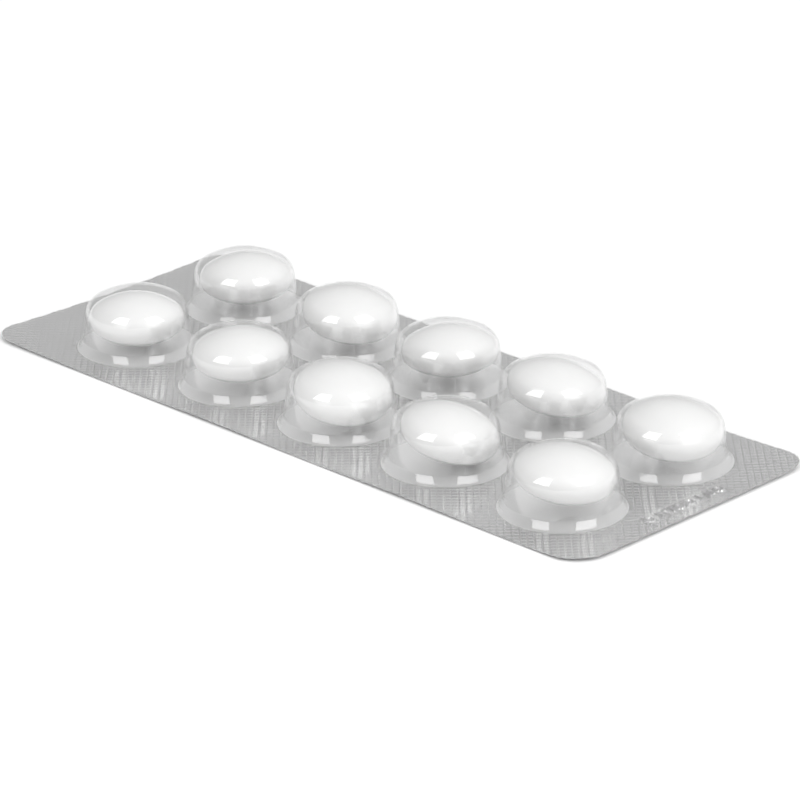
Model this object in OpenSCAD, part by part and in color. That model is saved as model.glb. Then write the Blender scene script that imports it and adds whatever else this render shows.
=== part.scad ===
// Blister pack of ten round tablets: a clear thermoformed film with ten domed pockets,
// a flat lidding foil sealed under it, and one loose biconvex tablet in each pocket.
// The foil's underside lies at z = 0, the long side runs along X and the pockets face up.

/* [Pack] */
// Length of the pack, along X
pack_l = 110; // [106:1:150]
// Width of the pack, along Y
pack_w = 44; // [40:1:70]
// Radius of the four rounded corners of the pack
corner_r = 4.6; // [1:0.1:8]

/* [Sheets] */
// Thickness of the clear forming film, the same on flange and pockets
film_t = 0.2; // [0.15:0.05:0.4]
// Thickness of the hard aluminium lidding foil
foil_t = 0.03; // [0.02:0.01:0.1]

/* [Tablet] */
// Diameter of a tablet
tablet_d = 13; // [11:0.1:13.6]
// Thickness of a tablet at its middle
tablet_t = 6.9; // [6:0.1:8]
// Radius of the soft edge between the two domed faces
tablet_edge_r = 2.2; // [1.6:0.1:2.8]

/* [Pockets] */
// Free room between the edge of a centred tablet and the pocket's shoulder
side_clear = 0.3; // [0.3:0.05:0.6]
// Free room over a tablet that lies flat on the foil
head_room = 1.25; // [1:0.05:1.8]
// Height of the domed roof over the middle of the shoulder's curve
roof_rise = 3.5; // [3:0.1:4]
// Radius of the shoulder between roof and wall, on the inside
shoulder_r = 2.4; // [1.6:0.1:2.6]
// Angle by which the wall flares towards the flange
wall_draft = 7; // [4:1:11]
// Radius of the fillet where the wall meets the flange, on the outside
foot_r = 0.8; // [0.5:0.1:1.2]

/* [Layout] */
// Distance between the two columns of pockets, along Y
column_pitch = 20; // [18:0.1:22]
// Distance between neighbouring rows in the middle of the pack, along X
row_pitch = 19.1; // [18:0.1:20]
// Distance between an end row and the row beside it, along X
end_row_pitch = 20.3; // [18:0.1:21]
// How far the middle row stands off the middle of the pack, towards +X
row_shift = 1.7; // [-3:0.1:3]

/* [Smoothness] */
// Number of facets round a pocket or a tablet
around = 32; // [24:4:96]
// Number of flat steps on each curve of the pocket film's section
curve_steps = 4; // [2:1:12]

/* [Hidden] */

near = 0;
far = 1;
column_y = [-column_pitch / 2, column_pitch / 2];
row_x = [
    row_shift - row_pitch - end_row_pitch,
    row_shift - row_pitch,
    row_shift,
    row_shift + row_pitch,
    row_shift + row_pitch + end_row_pitch
];

// Inside of a pocket, worked out from the tablet and its clearances
pocket_r = tablet_d / 2 + side_clear;
pocket_depth = tablet_t + head_room;
shoulder_x = pocket_r - shoulder_r;
shoulder_z = pocket_depth - roof_rise;
foot_z = film_t + foot_r;
foot_x = shoulder_x + (shoulder_r + foot_r + film_t) / cos(wall_draft)
    + (shoulder_z - foot_z) * tan(wall_draft);

// Room that a flat tablet has in its pocket: to slide at mid height, and to lean
edge_x = tablet_d / 2 - tablet_edge_r;
flat_room = side_clear + (shoulder_z - tablet_t / 2) * tan(wall_draft);
lean_room = atan2(head_room, edge_x);

// How the tablets lie, as shares of their room, in each column from the first row to the last:
// [slide along X, slide along Y, lean about X, lean about Y, rise off the foil]
lie = [
    [
        [-0.1, -0.1, -0.15, -0.05, 0.35],
        [0, 0.45, -0.05, -0.1, 0.65],
        [0.6, 0.45, 0.05, 0.65, 0.65],
        [0.65, 0.75, -0.6, 0.65, 0.55],
        [0.2, 0.7, -0.35, 0.3, 0.85]
    ],
    [
        [0.4, 0.5, -0.15, -0.2, 0.65],
        [0.55, 0.55, -0.15, 0.55, 0.75],
        [0.35, 0.5, -0.25, -0.35, 0.7],
        [0.55, 0.7, -0.5, 0.4, 0.75],
        [0.65, 0.35, 0, 0.45, 0.85]
    ]
];

// Radius of the sphere that forms a shallow dome of half width w and height h,
// and runs smoothly into an edge of radius e that stands upright at the half width
function dome_radius(w, h, e) = (pow(w - e, 2) + h * h - e * e) / (2 * (h - e));

roof_r = dome_radius(pocket_r, roof_rise, shoulder_r);
face_r = dome_radius(tablet_d / 2, tablet_t / 2, tablet_edge_r);

// Height of a leaning tablet's middle over its lowest point
function seat_height(lean) = face_r - (face_r - tablet_t / 2) * cos(lean);

// Half section of a shallow dome of height h on the line z = 0: a sphere of radius r, and
// the edge of radius e that it runs into, with its centre at edge_x
module dome_section(edge_x, h, r, e) {
    meet_x = edge_x * r / (r - e);
    intersection() {
        translate([0, h - r])
            circle(r = r, $fn = 4 * around);
        square([meet_x, h]);
    }
    intersection() {
        translate([edge_x, 0])
            circle(r = e, $fn = around);
        translate([edge_x, 0])
            square([e, e]);
    }
}

// Outline that film and foil share: they are die-cut together
module pack_outline() {
    square([pack_l - 2 * corner_r, pack_w], center = true);
    square([pack_l, pack_w - 2 * corner_r], center = true);
    for (x = [-1, 1], y = [-1, 1])
        translate([x * (pack_l / 2 - corner_r), y * (pack_w / 2 - corner_r)])
            circle(r = corner_r, $fn = around);
}

module at_pockets() {
    for (x = row_x, y = column_y)
        translate([x, y, foil_t])
            children();
}

// Points [x, z] on an arc of radius r about centre, from angle a to angle b
function arc(centre, r, a, b) = [
    for (i = [0 : curve_steps])
        let (t = a + (b - a) * i / curve_steps)
        centre + r * [cos(t), sin(t)]
];

// Half section of a pocket's surface, lying out from its inner side, from the flange to the
// axis: the fillet at the foot, the flared wall, the round shoulder and the domed roof
function pocket_side(out) =
    let (roof_start = atan2(roof_r - roof_rise, shoulder_x))
    concat(
        arc([foot_x, foot_z], foot_r + film_t - out, 270, 180 + wall_draft),
        arc([shoulder_x, shoulder_z], shoulder_r + out, wall_draft, roof_start),
        [for (i = [1 : curve_steps])
            let (t = roof_start + (90 - roof_start) * i / curve_steps)
            [(roof_r + out) * cos(t), pocket_depth - roof_r + (roof_r + out) * sin(t)]]
    );

module pocket_outside() {
    rotate_extrude($fn = around)
        polygon(concat([[0, 0], [foot_x, 0]], pocket_side(film_t)));
}

// The cavity reaches a little below the film, so that it opens cleanly onto the foil
module pocket_cavity() {
    rotate_extrude($fn = around)
        polygon(concat([[0, -film_t], [foot_x, -film_t]], pocket_side(0)));
}

module forming_film() {
    color([0.86, 0.88, 0.9, 0.35])
    difference() {
        union() {
            translate([0, 0, foil_t])
                linear_extrude(height = film_t)
                    pack_outline();
            at_pockets()
                pocket_outside();
        }
        at_pockets()
            pocket_cavity();
    }
}

module lidding_foil() {
    color([0.72, 0.73, 0.74])
    linear_extrude(height = foil_t)
        pack_outline();
}

// Two domed faces and the soft edge between them
module tablet_body() {
    rotate_extrude($fn = around)
        for (side = [0, 1])
            mirror([0, side])
                dome_section(edge_x, tablet_t / 2, face_r, tablet_edge_r);
}

// A loose tablet, lying in its pocket as the room there lets it
module tablet(column, row) {
    share = lie[column][row];
    lean = [share[2] * lean_room, share[3] * lean_room];
    total_lean = acos(cos(lean[0]) * cos(lean[1]));
    slide_room = flat_room + edge_x * (1 - cos(total_lean));
    seat = seat_height(total_lean);
    rise_room = pocket_depth - 2 * seat;
    color([0.95, 0.95, 0.94])
    translate([
        row_x[row] + share[0] * slide_room,
        column_y[column] + share[1] * slide_room,
        foil_t + seat + share[4] * rise_room
    ])
        rotate([lean[0], lean[1], 0])
            tablet_body();
}

forming_film();
lidding_foil();
tablet(near, 0);  // tablet_near_1
tablet(near, 1);  // tablet_near_2
tablet(near, 2);  // tablet_near_3
tablet(near, 3);  // tablet_near_4
tablet(near, 4);  // tablet_near_5
tablet(far, 0);  // tablet_far_1
tablet(far, 1);  // tablet_far_2
tablet(far, 2);  // tablet_far_3
tablet(far, 3);  // tablet_far_4
tablet(far, 4);  // tablet_far_5
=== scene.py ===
# %% [markdown]
# # A strip of ten tablets in clear pockets
#
# This lesson dresses a blister pack: a clear film with ten domed pockets, a foil sealed under
# it, and a white coated tablet in each pocket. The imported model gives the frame: every piece
# made here takes the place of one of its parts, at the same place and size. What the solids
# leave out is made here: the tiny knurl of the heat seal, the slight curl of the sheet, the
# code strip at one end, and the finishes. The strip's own lengths are in millimetres until a
# mesh is made, because that is how a packaging maker would write them down. The finishes and
# the room are in metres, as Blender counts.

# %% Load the frame
import bpy
import numpy as np
from mathutils import Matrix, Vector
from mathutils.geometry import delaunay_2d_cdt


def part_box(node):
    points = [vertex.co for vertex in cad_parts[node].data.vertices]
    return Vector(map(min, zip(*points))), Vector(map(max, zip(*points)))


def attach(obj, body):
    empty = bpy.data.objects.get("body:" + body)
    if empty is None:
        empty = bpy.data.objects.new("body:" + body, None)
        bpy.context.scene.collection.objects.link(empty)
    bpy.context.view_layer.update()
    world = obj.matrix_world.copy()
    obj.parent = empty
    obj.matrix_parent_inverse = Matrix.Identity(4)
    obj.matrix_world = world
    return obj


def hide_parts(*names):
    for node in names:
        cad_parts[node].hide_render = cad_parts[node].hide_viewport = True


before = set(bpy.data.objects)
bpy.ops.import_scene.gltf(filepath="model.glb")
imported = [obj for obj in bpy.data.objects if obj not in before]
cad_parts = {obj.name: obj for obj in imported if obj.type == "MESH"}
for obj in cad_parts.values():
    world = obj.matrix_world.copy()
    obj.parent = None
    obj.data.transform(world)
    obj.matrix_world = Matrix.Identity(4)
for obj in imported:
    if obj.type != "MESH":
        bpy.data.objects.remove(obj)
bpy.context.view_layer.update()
MM = 0.001
print("parts in the frame:", sorted(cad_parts))

# %% [markdown]
# ## The sizes that every piece shares
#
# Film and foil are die-cut together, so they share one outline, and each pocket is a turned
# shape with the same section. A value that two pieces share is named once, so that they
# can't drift apart. The length and width are read from the foil's part in the frame.

# %% Outline, layout and the pocket's section
low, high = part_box("lidding_foil")
pack_l, pack_w = (high.x - low.x) / MM, (high.y - low.y) / MM
corner_r = 4.6
foil_t, film_t = 0.03, 0.2

row_x = np.array([-37.7, -17.4, 1.7, 20.8, 41.1])
column_y = np.array([-10.0, 10.0])
pocket_xy = np.array([[x, y] for x in row_x for y in column_y])

shoulder_x, shoulder_z, shoulder_r = 4.4, 4.65, 2.4
pocket_depth, roof_rise = 8.15, 3.5
wall_draft = np.radians(7)
foot_r = 0.8
foot_z = film_t + foot_r
foot_x = (shoulder_x + (shoulder_r + foot_r + film_t) / np.cos(wall_draft)
          + (shoulder_z - foot_z) * np.tan(wall_draft))
roof_r = ((shoulder_x ** 2 + roof_rise ** 2 - shoulder_r ** 2)
          / (2 * (roof_rise - shoulder_r)))
print(f"pack {pack_l:.1f} x {pack_w:.1f} mm, a pocket's foot is {2 * foot_x:.2f} mm across")

# %% [markdown]
# ## How the sheet lies
#
# A real strip is never quite flat. The foil pulls a little as it cools after sealing, so
# the ends curl up by three to five tenths of a millimetre and the long edges wave by two.
# This could be a Simple Deform modifier, but a small height function does it more exactly,
# and film and foil can both use it, so that they stay together.

# %% The lift of the sheet off the table
curl_l = 12
right_curl, left_curl = 0.3, 0.45
wave_l, wave_height = 36, 0.22
wave_start, far_wave_start = 10, 18

def lift(x, y):
    """Height of the sheet's underside over the table, in mm.

    The last stretch of the right end rises with the square of the distance, and so do the
    corners of the last stretch of the left end. The long edges wave slightly: a cosine along
    the edge, times the fourth power of the distance from the middle line.
    """
    right = np.clip((x - (pack_l / 2 - curl_l)) / curl_l, 0, 1)
    left = np.clip((-x - (pack_l / 2 - curl_l)) / curl_l, 0, 1)
    side = np.abs(2 * y / pack_w)
    start = np.where(y > 0, far_wave_start, wave_start)
    wave = 0.5 + 0.5 * np.cos(2 * np.pi * (x + start) / wave_l)
    return (right_curl * right ** 2 + left_curl * left ** 2 * side ** 2
            + wave_height * side ** 4 * wave)

# %% [markdown]
# ## The knurl of the heat seal
#
# Hot plates press film and foil together. Their faces are knurled: two sets of grooves cross
# at right angles, at 45 degrees to the pack's edges, and leave small raised pads between
# them, a little under a millimetre apart. The glints that they catch are what tells the eye
# that this is a sealed strip. A bump map would be enough for one view, but the pads show at
# the sheet's edge and in the mesh too, so they are real relief here.
#
# Each pad is a low frustum. Along one direction, three positions per pitch are enough for it:
# the bottom of the groove and the two edges of the pad.

# %% One pad as a height, and the places where it needs points
knurl_pitch = 0.91
pad_edge = 0.2
knurl_depth = 0.1
u_share = 0.7

def knurl(x, y):
    """Height of the relief from 0 in a groove to 1 on a pad.

    u and v run at 45 degrees to the edges. In each, the height climbs in a straight line
    from the groove to the pad's edge, and a pad is as high as the lower of the two. The
    grooves across u are shallower than those across v: in the photograph the lines
    that run away from the camera are the fainter ones.
    """
    u, v = (x + y) / np.sqrt(2), (y - x) / np.sqrt(2)
    u_rise, v_rise = (np.abs((w / knurl_pitch + 0.5) % 1 - 0.5) / pad_edge for w in (u, v))
    return np.clip(np.minimum(1 - u_share + u_share * u_rise, v_rise), 0, 1)

half_lines = int(np.hypot(pack_l, pack_w) / 2 / knurl_pitch) + 1
ticks = ((np.arange(-half_lines, half_lines + 1)[:, None]
          + np.array([0, pad_edge, 1 - pad_edge])).ravel() * knurl_pitch)
u, v = (w.ravel() for w in np.meshgrid(ticks, ticks))
lattice = np.stack([(u - v) / np.sqrt(2), (u + v) / np.sqrt(2)], axis=1)
print(len(ticks), "lines each way")

# %% [markdown]
# ## The code strip
#
# Near one end a real strip carries a stamped row of small raised marks. Here it is a row of
# plain rings and bars, with no letters. Each mark is given by its distance from a point: a
# ring is everything at nearly one radius, and a bar everything near one line.

# %% The stamped marks as a height
strip_x, strip_y, strip_half = 52.0, 0.5, 1.45
mark_pitch, mark_count = 1.85, 8
stroke, mark_height = 0.16, 0.24
ring_r, bar_half, bar_apart = 0.56, 0.6, 0.34
strip_step = 0.145

def stamp(x, y):
    """Height of the stamped marks from 0 to 1.

    The row is cut into equal cells. The cell's number says whether it holds a ring or one or
    two bars, and the height falls from 1 to 0 over a stroke beside the mark's line.
    """
    along = (y - strip_y) / mark_pitch + mark_count / 2
    cell = np.floor(along)
    a, b = (along - cell - 0.5) * mark_pitch, x - strip_x
    ring = np.abs(np.hypot(a, b * 0.8) - ring_r)
    past_end = np.maximum(np.abs(b) - bar_half, 0)
    bar = np.hypot(a, past_end)
    bars = np.hypot(np.abs(a) - bar_apart, past_end)
    gap = np.choose((cell % 4).astype(int), [ring, bar, bars, ring])
    gap = np.where((cell >= 0) & (cell < mark_count), gap, 9.0)
    return np.clip(1.5 - gap / stroke, 0, 1)

def in_strip(x, y, margin=0.0):
    """True on the plain band that the marks stand on."""
    return ((np.abs(x - strip_x) < strip_half + margin)
            & (np.abs(y - strip_y) < mark_pitch * mark_count / 2 + 0.4 + margin))

steps = np.arange(-strip_half, strip_half + 0.01, strip_step)
rows_half = mark_pitch * mark_count / 2
rows = np.arange(-rows_half, rows_half + 0.01, strip_step)
sx, sy = (w.ravel() for w in np.meshgrid(steps + strip_x, rows + strip_y))
strip_points = np.stack([sx, sy], axis=1)
print(len(strip_points), "points on the code strip")

# %% [markdown]
# ## One net of triangles for the sealed land
#
# The land is the outline less ten round holes, covered by a grid that is turned by 45
# degrees. Cutting that grid with a Boolean would be slow and leave slivers. It is easier to
# give all the points that matter, the outline's and the circles' included, to a Delaunay
# triangulation, which keeps the edges it is told to keep. Film and foil then share the net,
# and differ only in their heights.

# %% Points of the outline, the pockets' feet and the land
around = 64
angle = 2 * np.pi * np.arange(around) / around

def outline_points(step=0.55):
    """Points along the rounded outline, as straight sides and quarter circles."""
    a, b = pack_l / 2 - corner_r, pack_w / 2 - corner_r
    turns = np.radians(np.linspace(0, 90, 15))
    loop = []
    for i, (sx, sy) in enumerate([(1, 1), (-1, 1), (-1, -1), (1, -1)]):
        t = turns + i * np.pi / 2
        loop.append(np.stack([sx * a + corner_r * np.cos(t), sy * b + corner_r * np.sin(t)], 1))
        length = [2 * a, 2 * b][i % 2]
        share = np.linspace(0, 1, int(length / step) + 1)[1:-1, None]
        corner = loop[-1][-1]
        way = np.array([[-1, 0], [0, -1], [1, 0], [0, 1]][i])
        loop.append(corner + way * length * share)
    return np.concatenate(loop)

def from_pocket(x, y):
    """Distance from the middle of the nearest pocket."""
    return np.hypot(x[:, None] - pocket_xy[:, 0], y[:, None] - pocket_xy[:, 1]).min(axis=1)

def from_edge(x, y):
    """Distance inwards from the outline: the rounded rectangle's own distance, less its sign."""
    dx, dy = np.abs(x) - (pack_l / 2 - corner_r), np.abs(y) - (pack_w / 2 - corner_r)
    outside = np.hypot(np.maximum(dx, 0), np.maximum(dy, 0))
    return corner_r - outside - np.minimum(np.maximum(dx, dy), 0)

rim = outline_points()
feet = (pocket_xy[:, None, :] + foot_x
        * np.stack([np.cos(angle), np.sin(angle)], 1)[None]).reshape(-1, 2)
keep = ((from_edge(*lattice.T) > 0.14) & (from_pocket(*lattice.T) > foot_x + 0.12)
        & ~in_strip(*lattice.T, margin=0.1))
floors = np.concatenate([
    pocket_xy[:, None, :] + r * np.stack([np.cos(angle[::s] + r), np.sin(angle[::s] + r)], 1)
    for r, s in [(1.2, 8), (2.7, 4), (4.2, 4), (5.7, 2), (7.1, 2), (8.0, 1)]], axis=1)
points = np.concatenate([rim, feet, lattice[keep], strip_points, floors.reshape(-1, 2)])
print(len(rim), "points on the outline,", keep.sum(), "on the knurl")

# %% Join the points
def ring_edges(first, count):
    """Index pairs of a closed loop of count points that starts at first."""
    i = np.arange(count)
    return np.stack([first + i, first + (i + 1) % count], axis=1)

edges = np.concatenate([ring_edges(0, len(rim))]
                       + [ring_edges(len(rim) + i * around, around) for i in range(10)])
net, _, tris, *_ = delaunay_2d_cdt(points.tolist(), edges.tolist(), [], 0, 1e-6, False)
if len(net) != len(points):
    raise ValueError("two points of the land fell together")
tris = np.array(tris)
cx, cy = points[tris].mean(axis=1).T
on_land = from_pocket(cx, cy) > foot_x * np.cos(np.pi / around) - 0.02
x, y = points.T
print(len(tris), "triangles in the net,", on_land.sum(), "of them on the land")

# %% [markdown]
# ## From the net to a closed sheet
#
# A sheet is two copies of the net, one over the other, joined along the outline. The helper
# below takes the heights of both faces. The foil is the simple case: its pockets are closed
# by a flat floor, so the whole net is used, and the relief is the same on both faces, as it
# is in a foil of 0.03 mm.

# %% Helpers that make a mesh
def add_piece(name, vertices, faces, node, flat=0):
    """Makes a mesh piece from arrays in mm; it stands for a part and rides on the root.

    The first faces, as many as flat says, keep their crisp facets; the rest shade smoothly.
    """
    mesh = bpy.data.meshes.new(name)
    mesh.from_pydata((vertices * MM).tolist(), [], faces)
    mesh.polygons.foreach_set("use_smooth", np.arange(len(faces)) >= flat)
    piece = bpy.data.objects.new(name, mesh)
    bpy.context.scene.collection.objects.link(piece)
    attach(piece, "root")
    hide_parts(node)
    print(f"{name}: {len(vertices)} points, {len(faces)} faces")
    return piece

def rim_wall(loop, offset):
    """Quads that join a loop of points to the same loop offset indices further on."""
    return np.stack([loop, np.roll(loop, -1), np.roll(loop, -1) + offset, loop + offset], 1)

relief = knurl(x, y) * ~in_strip(x, y) * (from_pocket(x, y) > foot_x + 0.01)
marks = stamp(x, y) * in_strip(x, y)
base = lift(x, y) + knurl_depth * relief + mark_height * marks

# %% The lidding foil
n = len(points)
under = np.column_stack([x, y, base])
over = np.column_stack([x, y, base + foil_t])
wall = rim_wall(np.arange(len(rim)), n)
foil_faces = tris[:, ::-1].tolist() + (tris + n).tolist() + wall.tolist()
foil = add_piece("foil_lid", np.concatenate([under, over]), foil_faces,
                 "lidding_foil", flat=len(foil_faces))

# %% [markdown]
# ## The clear film and its ten pockets
#
# The film is drawn into ten moulds while it is hot. Each pocket is a turned shape: a round
# fillet at its foot, a wall that flares so that the pocket leaves its mould, a round
# shoulder, and a shallow domed roof. A Screw modifier could turn the section, but the foot's
# circle has to meet the land's net point by point, so the rings are laid out here instead.

# %% The pocket's section
flare = np.radians(35)
land_round, wall_round = 0.3, 0.6

def wall_at(z):
    """Outer radius of the straight wall at a height over the foil."""
    return (shoulder_x + (shoulder_r + film_t) / np.cos(wall_draft)
            + (shoulder_z - z) * np.tan(wall_draft))

reach = foot_x - land_round * np.tan(np.pi / 4 - flare / 2)
flare_z = ((reach + film_t * np.tan(flare) - wall_at(0))
           / (np.tan(flare) - np.tan(wall_draft)))
print(f"the wall flares below {flare_z:.2f} mm")

def rounded(corner, radius, lean_a, lean_b, slack, count):
    """An arc that rounds a corner between two straight parts of the outer section.

    Each part is given by how far its surface leans back from upright. Slack moves the arc
    that far inwards, for the film's inner face.
    """
    ways = np.array([[np.cos(t), np.sin(t)] for t in (lean_a, lean_b)])
    centre = corner + radius * ways.sum(axis=0) / (1 + ways[0] @ ways[1])
    return arc(centre, radius + slack, np.pi + lean_a, np.pi + lean_b, count)

def arc(centre, radius, start, end, count):
    """Points on a circle's arc from start to end, in radians."""
    t = np.linspace(start, end, count)
    return np.stack([centre[0] + radius * np.cos(t), centre[1] + radius * np.sin(t)], 1)

def pocket_section(out):
    """Half section [radius, height] of a pocket's surface, lying out from its inner face.

    It runs from the land to the axis: the foot's fillet, the wall, the shoulder's arc and
    the roof's arc, each tangent to the last. The foot is a short flare between two small
    roundings, because the hot film stretches over the mould's edge as it is drawn.
    """
    meet = np.arctan2(roof_r - roof_rise, shoulder_x)
    roof_centre = (0.0, pocket_depth - roof_r)
    slack = film_t - out
    foot = np.concatenate([
        rounded([reach, film_t], land_round, np.pi / 2, flare, slack, 5),
        rounded([wall_at(flare_z), flare_z], wall_round, flare, wall_draft, slack, 6)])
    shoulder = arc((shoulder_x, shoulder_z), shoulder_r + out, wall_draft, meet, 10)
    roof = arc(roof_centre, roof_r + out, meet, np.pi / 2, 8)[1:]
    middle = (foot[-1] + shoulder[0]) / 2
    return np.concatenate([foot, [middle], shoulder, roof])

def turned(section, centre, lifted):
    """Rings of points round a pocket's axis, and its one point on the axis.

    A point of the section at radius r and height z goes to centre + r (cos t, sin t) at
    height z, for every angle t. The sheet's lift is added at the foot and fades towards
    the roof, because a pocket is far stiffer than the sheet round it.
    """
    r, z = section[:-1].T
    px = centre[0] + r[:, None] * np.cos(angle)
    py = centre[1] + r[:, None] * np.sin(angle)
    pz = np.broadcast_to(z[:, None], px.shape)
    rings = np.stack([px, py, pz], axis=2).reshape(-1, 3)
    top = [[centre[0], centre[1], section[-1, 1]]]
    solid = np.concatenate([rings, top])
    fade = 1 - np.clip(solid[:, 2] / shoulder_z, 0, 1)
    solid[:, 2] += foil_t + fade * lifted(solid[:, 0], solid[:, 1])
    return solid

def ring_faces(first_ring, first, ring_count, apex):
    """Quads between the rings, the first of which has its own index, and a fan at the top."""
    i = np.arange(around)
    j = np.roll(i, -1)
    starts = np.concatenate([[first_ring], first + around * np.arange(ring_count - 1)])
    lower, upper = starts[:-1, None], starts[1:, None]
    quads = np.stack([lower + i, lower + j, upper + j, upper + i], axis=2).reshape(-1, 4)
    fan = np.stack([starts[-1] + i, starts[-1] + j, np.full(around, apex)], axis=1)
    return quads, fan

# %% Film: the land, then pocket after pocket on both faces
# A gap of eight thousandths of a millimetre keeps film and foil from having faces in one
# place. Only part of the knurl's depth comes through to the film's upper face.
seal_gap = 0.008
film_share = 0.6
land = tris[on_land]
used = np.unique(land)
index = np.full(n, -1)
index[used] = np.arange(len(used))
land = index[land]
m = len(used)
film_low = (base + foil_t + seal_gap)[used]
film_high = (lift(x, y) + foil_t + film_t + film_share * knurl_depth * relief
             + mark_height * marks)[used]
under = np.column_stack([x[used], y[used], film_low])
over = np.column_stack([x[used], y[used], film_high])
film_points, film_faces = [under, over], [land[:, ::-1], land + m]
film_faces.append(rim_wall(index[:len(rim)], m))
count = 2 * m
for face, out in [(0, 0.0), (1, film_t)]:
    section = pocket_section(out)
    for k, centre in enumerate(pocket_xy):
        pts = turned(section, centre, lift)[around:]
        foot_ring = index[len(rim) + k * around] + face * m
        quads, fan = ring_faces(foot_ring, count, len(section) - 1, count + len(pts) - 1)
        flip = 1 if face else -1
        film_points.append(pts)
        film_faces += [quads[:, ::flip], fan[:, ::flip]]
        count += len(pts)
film = add_piece("clear_film", np.concatenate(film_points),
                 sum((f.tolist() for f in film_faces), []), "forming_film",
                 flat=2 * len(land))

# %% [markdown]
# ## The tablets
#
# A coated tablet is pressed between two cupped punches: two shallow domes and a soft edge.
# A sphere that is flattened would be too pointed at its edge, so the section is the one the
# press makes, two arcs that run smoothly into each other, turned round the tablet's axis.
# Each tablet is loose and leans its own way. Its middle and its axis are read from its part
# in the frame: the axis is the direction in which the part's points spread least.

# %% Section of a tablet, and its place in the frame
tablet_d, tablet_t, edge_r = 13.0, 6.9, 2.2
edge_x = tablet_d / 2 - edge_r
face_r = ((edge_x ** 2 + (tablet_t / 2) ** 2 - edge_r ** 2) / (2 * (tablet_t / 2 - edge_r)))

def tablet_section():
    """Half section [radius, height] from one pole to the other: dome, soft edge, dome."""
    meet = np.arctan2(face_r - tablet_t / 2, edge_x)
    dome = arc((0, tablet_t / 2 - face_r), face_r, np.pi / 2, meet, 18)
    edge = arc((edge_x, 0), edge_r, meet, 0, 16)[1:]
    upper = np.concatenate([dome, edge])
    return np.concatenate([upper, upper[-2::-1] * [1, -1]])

def place_of(node):
    """Middle and axis of a tablet's part, from its points, in mm."""
    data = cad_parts[node].data
    co = np.zeros(len(data.vertices) * 3)
    data.vertices.foreach_get("co", co)
    co = co.reshape(-1, 3) / MM
    middle = (co.min(axis=0) + co.max(axis=0)) / 2
    ways = np.linalg.eigh(np.cov((co - middle).T))[1]
    axis = ways[:, 0] * np.sign(ways[2, 0])
    return middle, axis

def make_tablet(node, turns=96):
    """Turns the section round Z, tips Z onto the tablet's axis and moves it into place."""
    middle, axis = place_of(node)
    section = tablet_section()[1:-1]
    t = 2 * np.pi * np.arange(turns) / turns
    r, z = section.T
    rings = np.stack([r[:, None] * np.cos(t), r[:, None] * np.sin(t),
                      np.broadcast_to(z[:, None], (len(z), turns))], axis=2).reshape(-1, 3)
    body = np.concatenate([rings, [[0, 0, tablet_t / 2], [0, 0, -tablet_t / 2]]])
    side = np.cross(axis, [0.0, 1.0, 0.0])
    side /= np.linalg.norm(side)
    tip = np.stack([-side, np.cross(axis, -side), axis], axis=1)
    i = np.arange(turns)
    j = np.roll(i, -1)
    start = turns * np.arange(len(z) - 1)[:, None]
    quads = np.stack([start + i, start + turns + i, start + turns + j, start + j],
                     axis=2).reshape(-1, 4)
    last = turns * (len(z) - 1)
    caps = [np.stack([np.full(turns, last + turns), i, j], 1),
            np.stack([np.full(turns, last + turns + 1), last + j, last + i], 1)]
    faces = quads.tolist() + caps[0].tolist() + caps[1].tolist()
    return add_piece(node.replace("tablet", "coated_tablet"), body @ tip.T + middle, faces,
                     node)

tablets = [make_tablet(node) for node in sorted(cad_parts) if node.startswith("tablet")]

# %% [markdown]
# ## Finishes
#
# Every finish is a small tree of nodes on Object coordinates, so its grain has a real size
# in metres and stays where it is when the camera moves.

# %% A helper for materials
def new_material(name):
    """An empty node material and its output node."""
    material = bpy.data.materials.new(name)
    material.use_nodes = True
    nodes = material.node_tree.nodes
    nodes.clear()
    return material, nodes, material.node_tree.links.new, nodes.new("ShaderNodeOutputMaterial")

def noise(nodes, link, scale, detail, stretch=(1, 1, 1)):
    """Noise on Object coordinates; scale is in lumps per metre, stretch per axis."""
    place = nodes.new("ShaderNodeTexCoord")
    turn = nodes.new("ShaderNodeMapping")
    turn.inputs["Scale"].default_value = stretch
    grain = nodes.new("ShaderNodeTexNoise")
    grain.inputs["Scale"].default_value = scale
    grain.inputs["Detail"].default_value = detail
    link(place.outputs["Object"], turn.inputs["Vector"])
    link(turn.outputs["Vector"], grain.inputs["Vector"])
    return grain.outputs["Fac"]

def bump(nodes, link, height, strength, depth):
    """A bump of that depth in metres, driven by a height from 0 to 1."""
    node = nodes.new("ShaderNodeBump")
    node.inputs["Strength"].default_value = strength
    node.inputs["Distance"].default_value = depth
    link(height, node.inputs["Height"])
    return node.outputs["Normal"]

# %% [markdown]
# ### Clear film
#
# The film is 0.2 mm thick with parallel faces, so it hardly bends what is seen through it.
# Glass would cost many noisy bounces and put the tablets in shadow. A mix of see-through and
# mirror does what such a film does: it mirrors a few percent of the light that meets it
# head on, and more and more at a slant, by the fifth power of the slant. A real face mirrors
# four or five percent head on. Here it is 7.5, so that the glints come out as bright as in
# the photograph.

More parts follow.
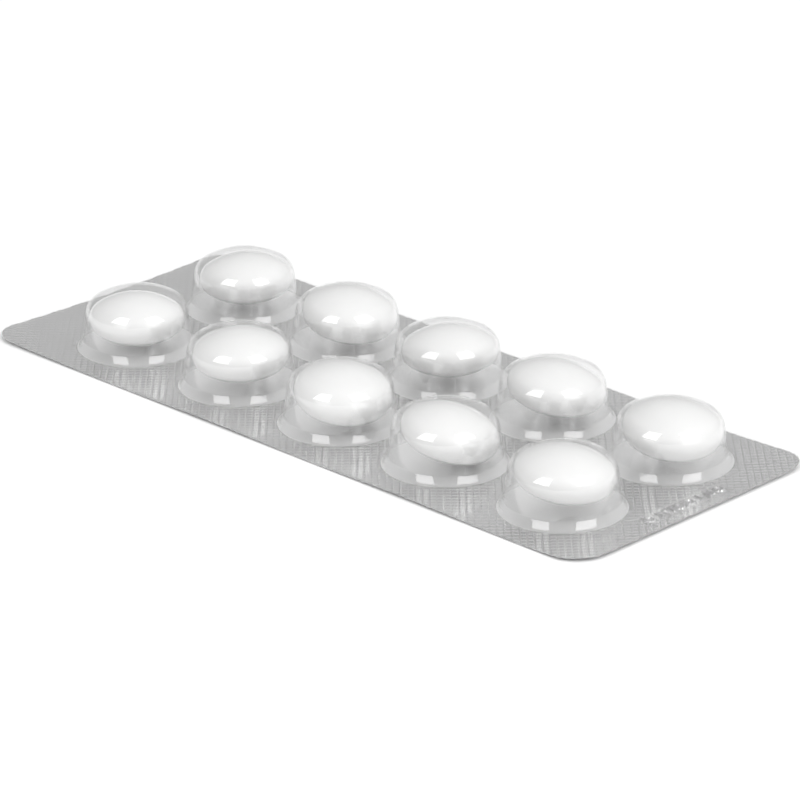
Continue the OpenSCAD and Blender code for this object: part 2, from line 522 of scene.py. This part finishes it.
# %% Material of the film
def clear_film_finish():
    """See-through mixed with a mirror, whose share grows by the fifth power of the slant."""
    material, nodes, link, output = new_material("clear_forming_film")
    facing = nodes.new("ShaderNodeLayerWeight")
    facing.inputs["Blend"].default_value = 0.5
    power = nodes.new("ShaderNodeMath")
    power.operation = "POWER"
    power.inputs[1].default_value = 5
    mirror = nodes.new("ShaderNodeMapRange")
    mirror.inputs["To Min"].default_value = 0.075
    mirror.inputs["To Max"].default_value = 0.9
    clear = nodes.new("ShaderNodeBsdfTransparent")
    clear.inputs["Color"].default_value = (0.985, 0.985, 0.985, 1)
    gloss = nodes.new("ShaderNodeBsdfGlossy")
    gloss.inputs["Roughness"].default_value = 0.05
    gloss.inputs["Color"].default_value = (1, 1, 1, 1)
    waves = noise(nodes, link, 260, 2)
    link(bump(nodes, link, waves, 0.25, 0.0003), gloss.inputs["Normal"])
    mix = nodes.new("ShaderNodeMixShader")
    link(facing.outputs["Facing"], power.inputs[0])
    link(power.outputs["Value"], mirror.inputs["Value"])
    link(mirror.outputs["Result"], mix.inputs["Fac"])
    link(clear.outputs["BSDF"], mix.inputs[1])
    link(gloss.outputs["BSDF"], mix.inputs[2])
    link(mix.outputs["Shader"], output.inputs["Surface"])
    return material

film.data.materials.append(clear_film_finish())

# %% [markdown]
# ### Lidding foil
#
# Hard aluminium foil is rolled, which leaves it satin with faint lines along the web. It is
# grey rather than bright because it mirrors a blurred, mostly empty room. The knurled land
# and the flat floors in the pockets mirror different parts of that room, and no one shade
# gave both their tone in the photograph. So each has its own shade and roughness. They were
# found by comparing tones, not measured on a foil. Both faces get them, so the floors show
# from below too, as pale discs.
# The floors' lighter shade is a painted light: a real foil is one shade, and here the floors are
# painted lighter than the land.

# %% Material of the foil
def foil_finish(name, shade, rough):
    """Satin aluminium of about that shade and roughness, with faint rolled lines."""
    material, nodes, link, output = new_material(name)
    metal = nodes.new("ShaderNodeBsdfPrincipled")
    metal.inputs["Metallic"].default_value = 1
    rolled = noise(nodes, link, 350, 2, stretch=(0.3, 1, 1))
    tone = nodes.new("ShaderNodeMapRange")
    tone.inputs["To Min"].default_value = rough - 0.04
    tone.inputs["To Max"].default_value = rough + 0.04
    link(rolled, tone.inputs["Value"])
    link(tone.outputs["Result"], metal.inputs["Roughness"])
    colour = nodes.new("ShaderNodeValToRGB")
    colour.color_ramp.elements[0].color = (shade - 0.02, shade - 0.02, shade - 0.02, 1)
    colour.color_ramp.elements[1].color = (shade + 0.02, shade + 0.02, shade + 0.02, 1)
    link(rolled, colour.inputs["Fac"])
    link(colour.outputs["Color"], metal.inputs["Base Color"])
    wrinkles = noise(nodes, link, 300, 3)
    link(bump(nodes, link, wrinkles, 0.15, 0.0001), metal.inputs["Normal"])
    link(metal.outputs["BSDF"], output.inputs["Surface"])
    return material

# One foil in two shades: the pocket floors are painted lighter than the land, a painted light.
foil.data.materials.append(foil_finish("land_foil", 0.57, 0.15))
foil.data.materials.append(foil_finish("floor_foil_painted_light", 0.91, 0.45))
painted_light_floors = np.zeros(len(foil_faces), int)
painted_light_floors[:2 * len(tris)] = np.tile(~on_land, 2)
foil.data.polygons.foreach_set("material_index", painted_light_floors)

# %% [markdown]
# ### Coated tablets
#
# A film-coated tablet is white right through, with a thin sprayed coat that dries with a
# faint orange-peel texture and a soft sheen.

# %% Material of the tablets
def tablet_finish():
    """White with a faint mottle, under a glossy coat with a little orange peel."""
    material, nodes, link, output = new_material("white_tablet_coat")
    body = nodes.new("ShaderNodeBsdfPrincipled")
    body.inputs["Coat Weight"].default_value = 1.0
    body.inputs["Coat IOR"].default_value = 1.6
    body.inputs["Coat Roughness"].default_value = 0.08
    mottle = noise(nodes, link, 700, 3)
    shade = nodes.new("ShaderNodeValToRGB")
    shade.color_ramp.elements[0].color = (0.82, 0.82, 0.815, 1)
    shade.color_ramp.elements[1].color = (0.86, 0.86, 0.855, 1)
    link(mottle, shade.inputs["Fac"])
    link(shade.outputs["Color"], body.inputs["Base Color"])
    body.inputs["Roughness"].default_value = 0.35
    peel = noise(nodes, link, 1500, 2)
    normal = bump(nodes, link, peel, 0.2, 0.00004)
    link(normal, body.inputs["Normal"])
    link(normal, body.inputs["Coat Normal"])
    link(body.outputs["BSDF"], output.inputs["Surface"])
    return material

coat = tablet_finish()
for tablet in tablets:
    tablet.data.materials.append(coat)

# %% [markdown]
# ## The table, the light and the camera
#
# The strip lies on a white table between two tall softboxes, one some 45 degrees to the left
# of the camera and one as far to its right. They stand upright, so they give most tablets a
# pair of soft highlights and the pockets' feet their pairs of bright patches. The white room
# fills in the rest, and glows up to twice as bright above and to the right.

# %% Table and room
table = bpy.data.meshes.new("table")
table_half, table_top = 2.0, -5e-5
table.from_pydata([(-table_half, -table_half, table_top), (table_half, -table_half, table_top),
                   (table_half, table_half, table_top), (-table_half, table_half, table_top)],
                  [], [(0, 1, 2, 3)])
floor = bpy.data.objects.new("table", table)
bpy.context.scene.collection.objects.link(floor)
paper, nodes, link, output = new_material("white_table")
matt = nodes.new("ShaderNodeBsdfDiffuse")
matt.inputs["Color"].default_value = (0.95, 0.95, 0.95, 1)
link(matt.outputs["BSDF"], output.inputs["Surface"])
table.materials.append(paper)

room = bpy.data.worlds.new("room")
bpy.context.scene.world = room
room.use_nodes = True
room.node_tree.nodes["Background"].inputs["Color"].default_value = (1, 1, 1, 1)
nodes, link = room.node_tree.nodes, room.node_tree.links.new
way = nodes.new("ShaderNodeTexCoord")
toward = nodes.new("ShaderNodeVectorMath")
toward.operation = "DOT_PRODUCT"
toward.inputs[1].default_value = (0.53, 0.33, 0.75)
glow = nodes.new("ShaderNodeMapRange")
glow.inputs["To Min"].default_value = 0.58
glow.inputs["To Max"].default_value = 1.19
link(way.outputs["Generated"], toward.inputs[0])
link(toward.outputs["Value"], glow.inputs["Value"])
link(glow.outputs["Result"], nodes["Background"].inputs["Strength"])

# %% Softboxes
def softbox(name, azimuth, place, width, height, radiance):
    """An upright area light, seen from the strip at an azimuth: 0 is the -Y side, 90 the +X.

    place is its distance along the table and its middle's height. It faces back along the
    azimuth. Its power is what gives that radiance from a panel of its size.
    """
    a = np.radians(azimuth)
    toward = np.array([np.sin(a), -np.cos(a), 0])
    right = np.array([np.cos(a), np.sin(a), 0])
    lamp = bpy.data.lights.new(name, "AREA")
    lamp.shape = "RECTANGLE"
    lamp.size, lamp.size_y = width, height
    lamp.energy = radiance * np.pi * width * height
    box = bpy.data.objects.new(name, lamp)
    turn = np.eye(4)
    turn[:3, :3] = np.stack([right, np.cross(toward, right), toward], axis=1)
    turn[:3, 3] = place[0] * np.sin(a), -place[0] * np.cos(a), place[1]
    box.matrix_world = Matrix(turn.tolist())
    bpy.context.scene.collection.objects.link(box)
    return box

softbox("softbox_left", 1.5, (0.42, 0.42), 0.27, 0.56, 2.1)
softbox("softbox_right", 91.5, (0.6, 0.6), 0.42, 0.8, 2.1)

# %% [markdown]
# ### The camera
#
# The camera stands about where the photograph's did: its place, its aim and its slight roll
# were fitted, by laying the pack's outline and pockets over the picture. The focal length is
# given in pixels of an 800 pixel frame and turned into millimetres of a 36 mm sensor.

# %% Camera
azimuth, elevation, roll = np.radians([45.05, 22.51, -0.589])
distance = 0.5675
aim = np.array([1.975, 0.703, 0.0]) * MM
focal_px, frame_px, sensor_mm = 4304.1, 800, 36
back = np.array([np.sin(azimuth) * np.cos(elevation), -np.cos(azimuth) * np.cos(elevation),
                 np.sin(elevation)])
right = np.array([np.cos(azimuth), np.sin(azimuth), 0])
up = np.cross(back, right)
turn = np.eye(4)
turn[:3, 0] = right * np.cos(roll) + up * np.sin(roll)
turn[:3, 1] = -right * np.sin(roll) + up * np.cos(roll)
turn[:3, 2] = back
turn[:3, 3] = aim + distance * back
lens = bpy.data.cameras.new("camera")
lens.sensor_width = sensor_mm
lens.lens = focal_px / frame_px * sensor_mm
lens.clip_start, lens.clip_end = 0.01, 20
camera = bpy.data.objects.new("camera", lens)
camera.matrix_world = Matrix(turn.tolist())
bpy.context.scene.collection.objects.link(camera)
bpy.context.scene.camera = camera
bpy.context.scene.view_settings.view_transform = "Standard"
bpy.context.scene.cycles.transparent_max_bounces = 24

# %% The end of the lesson
bpy.context.view_layer.update()
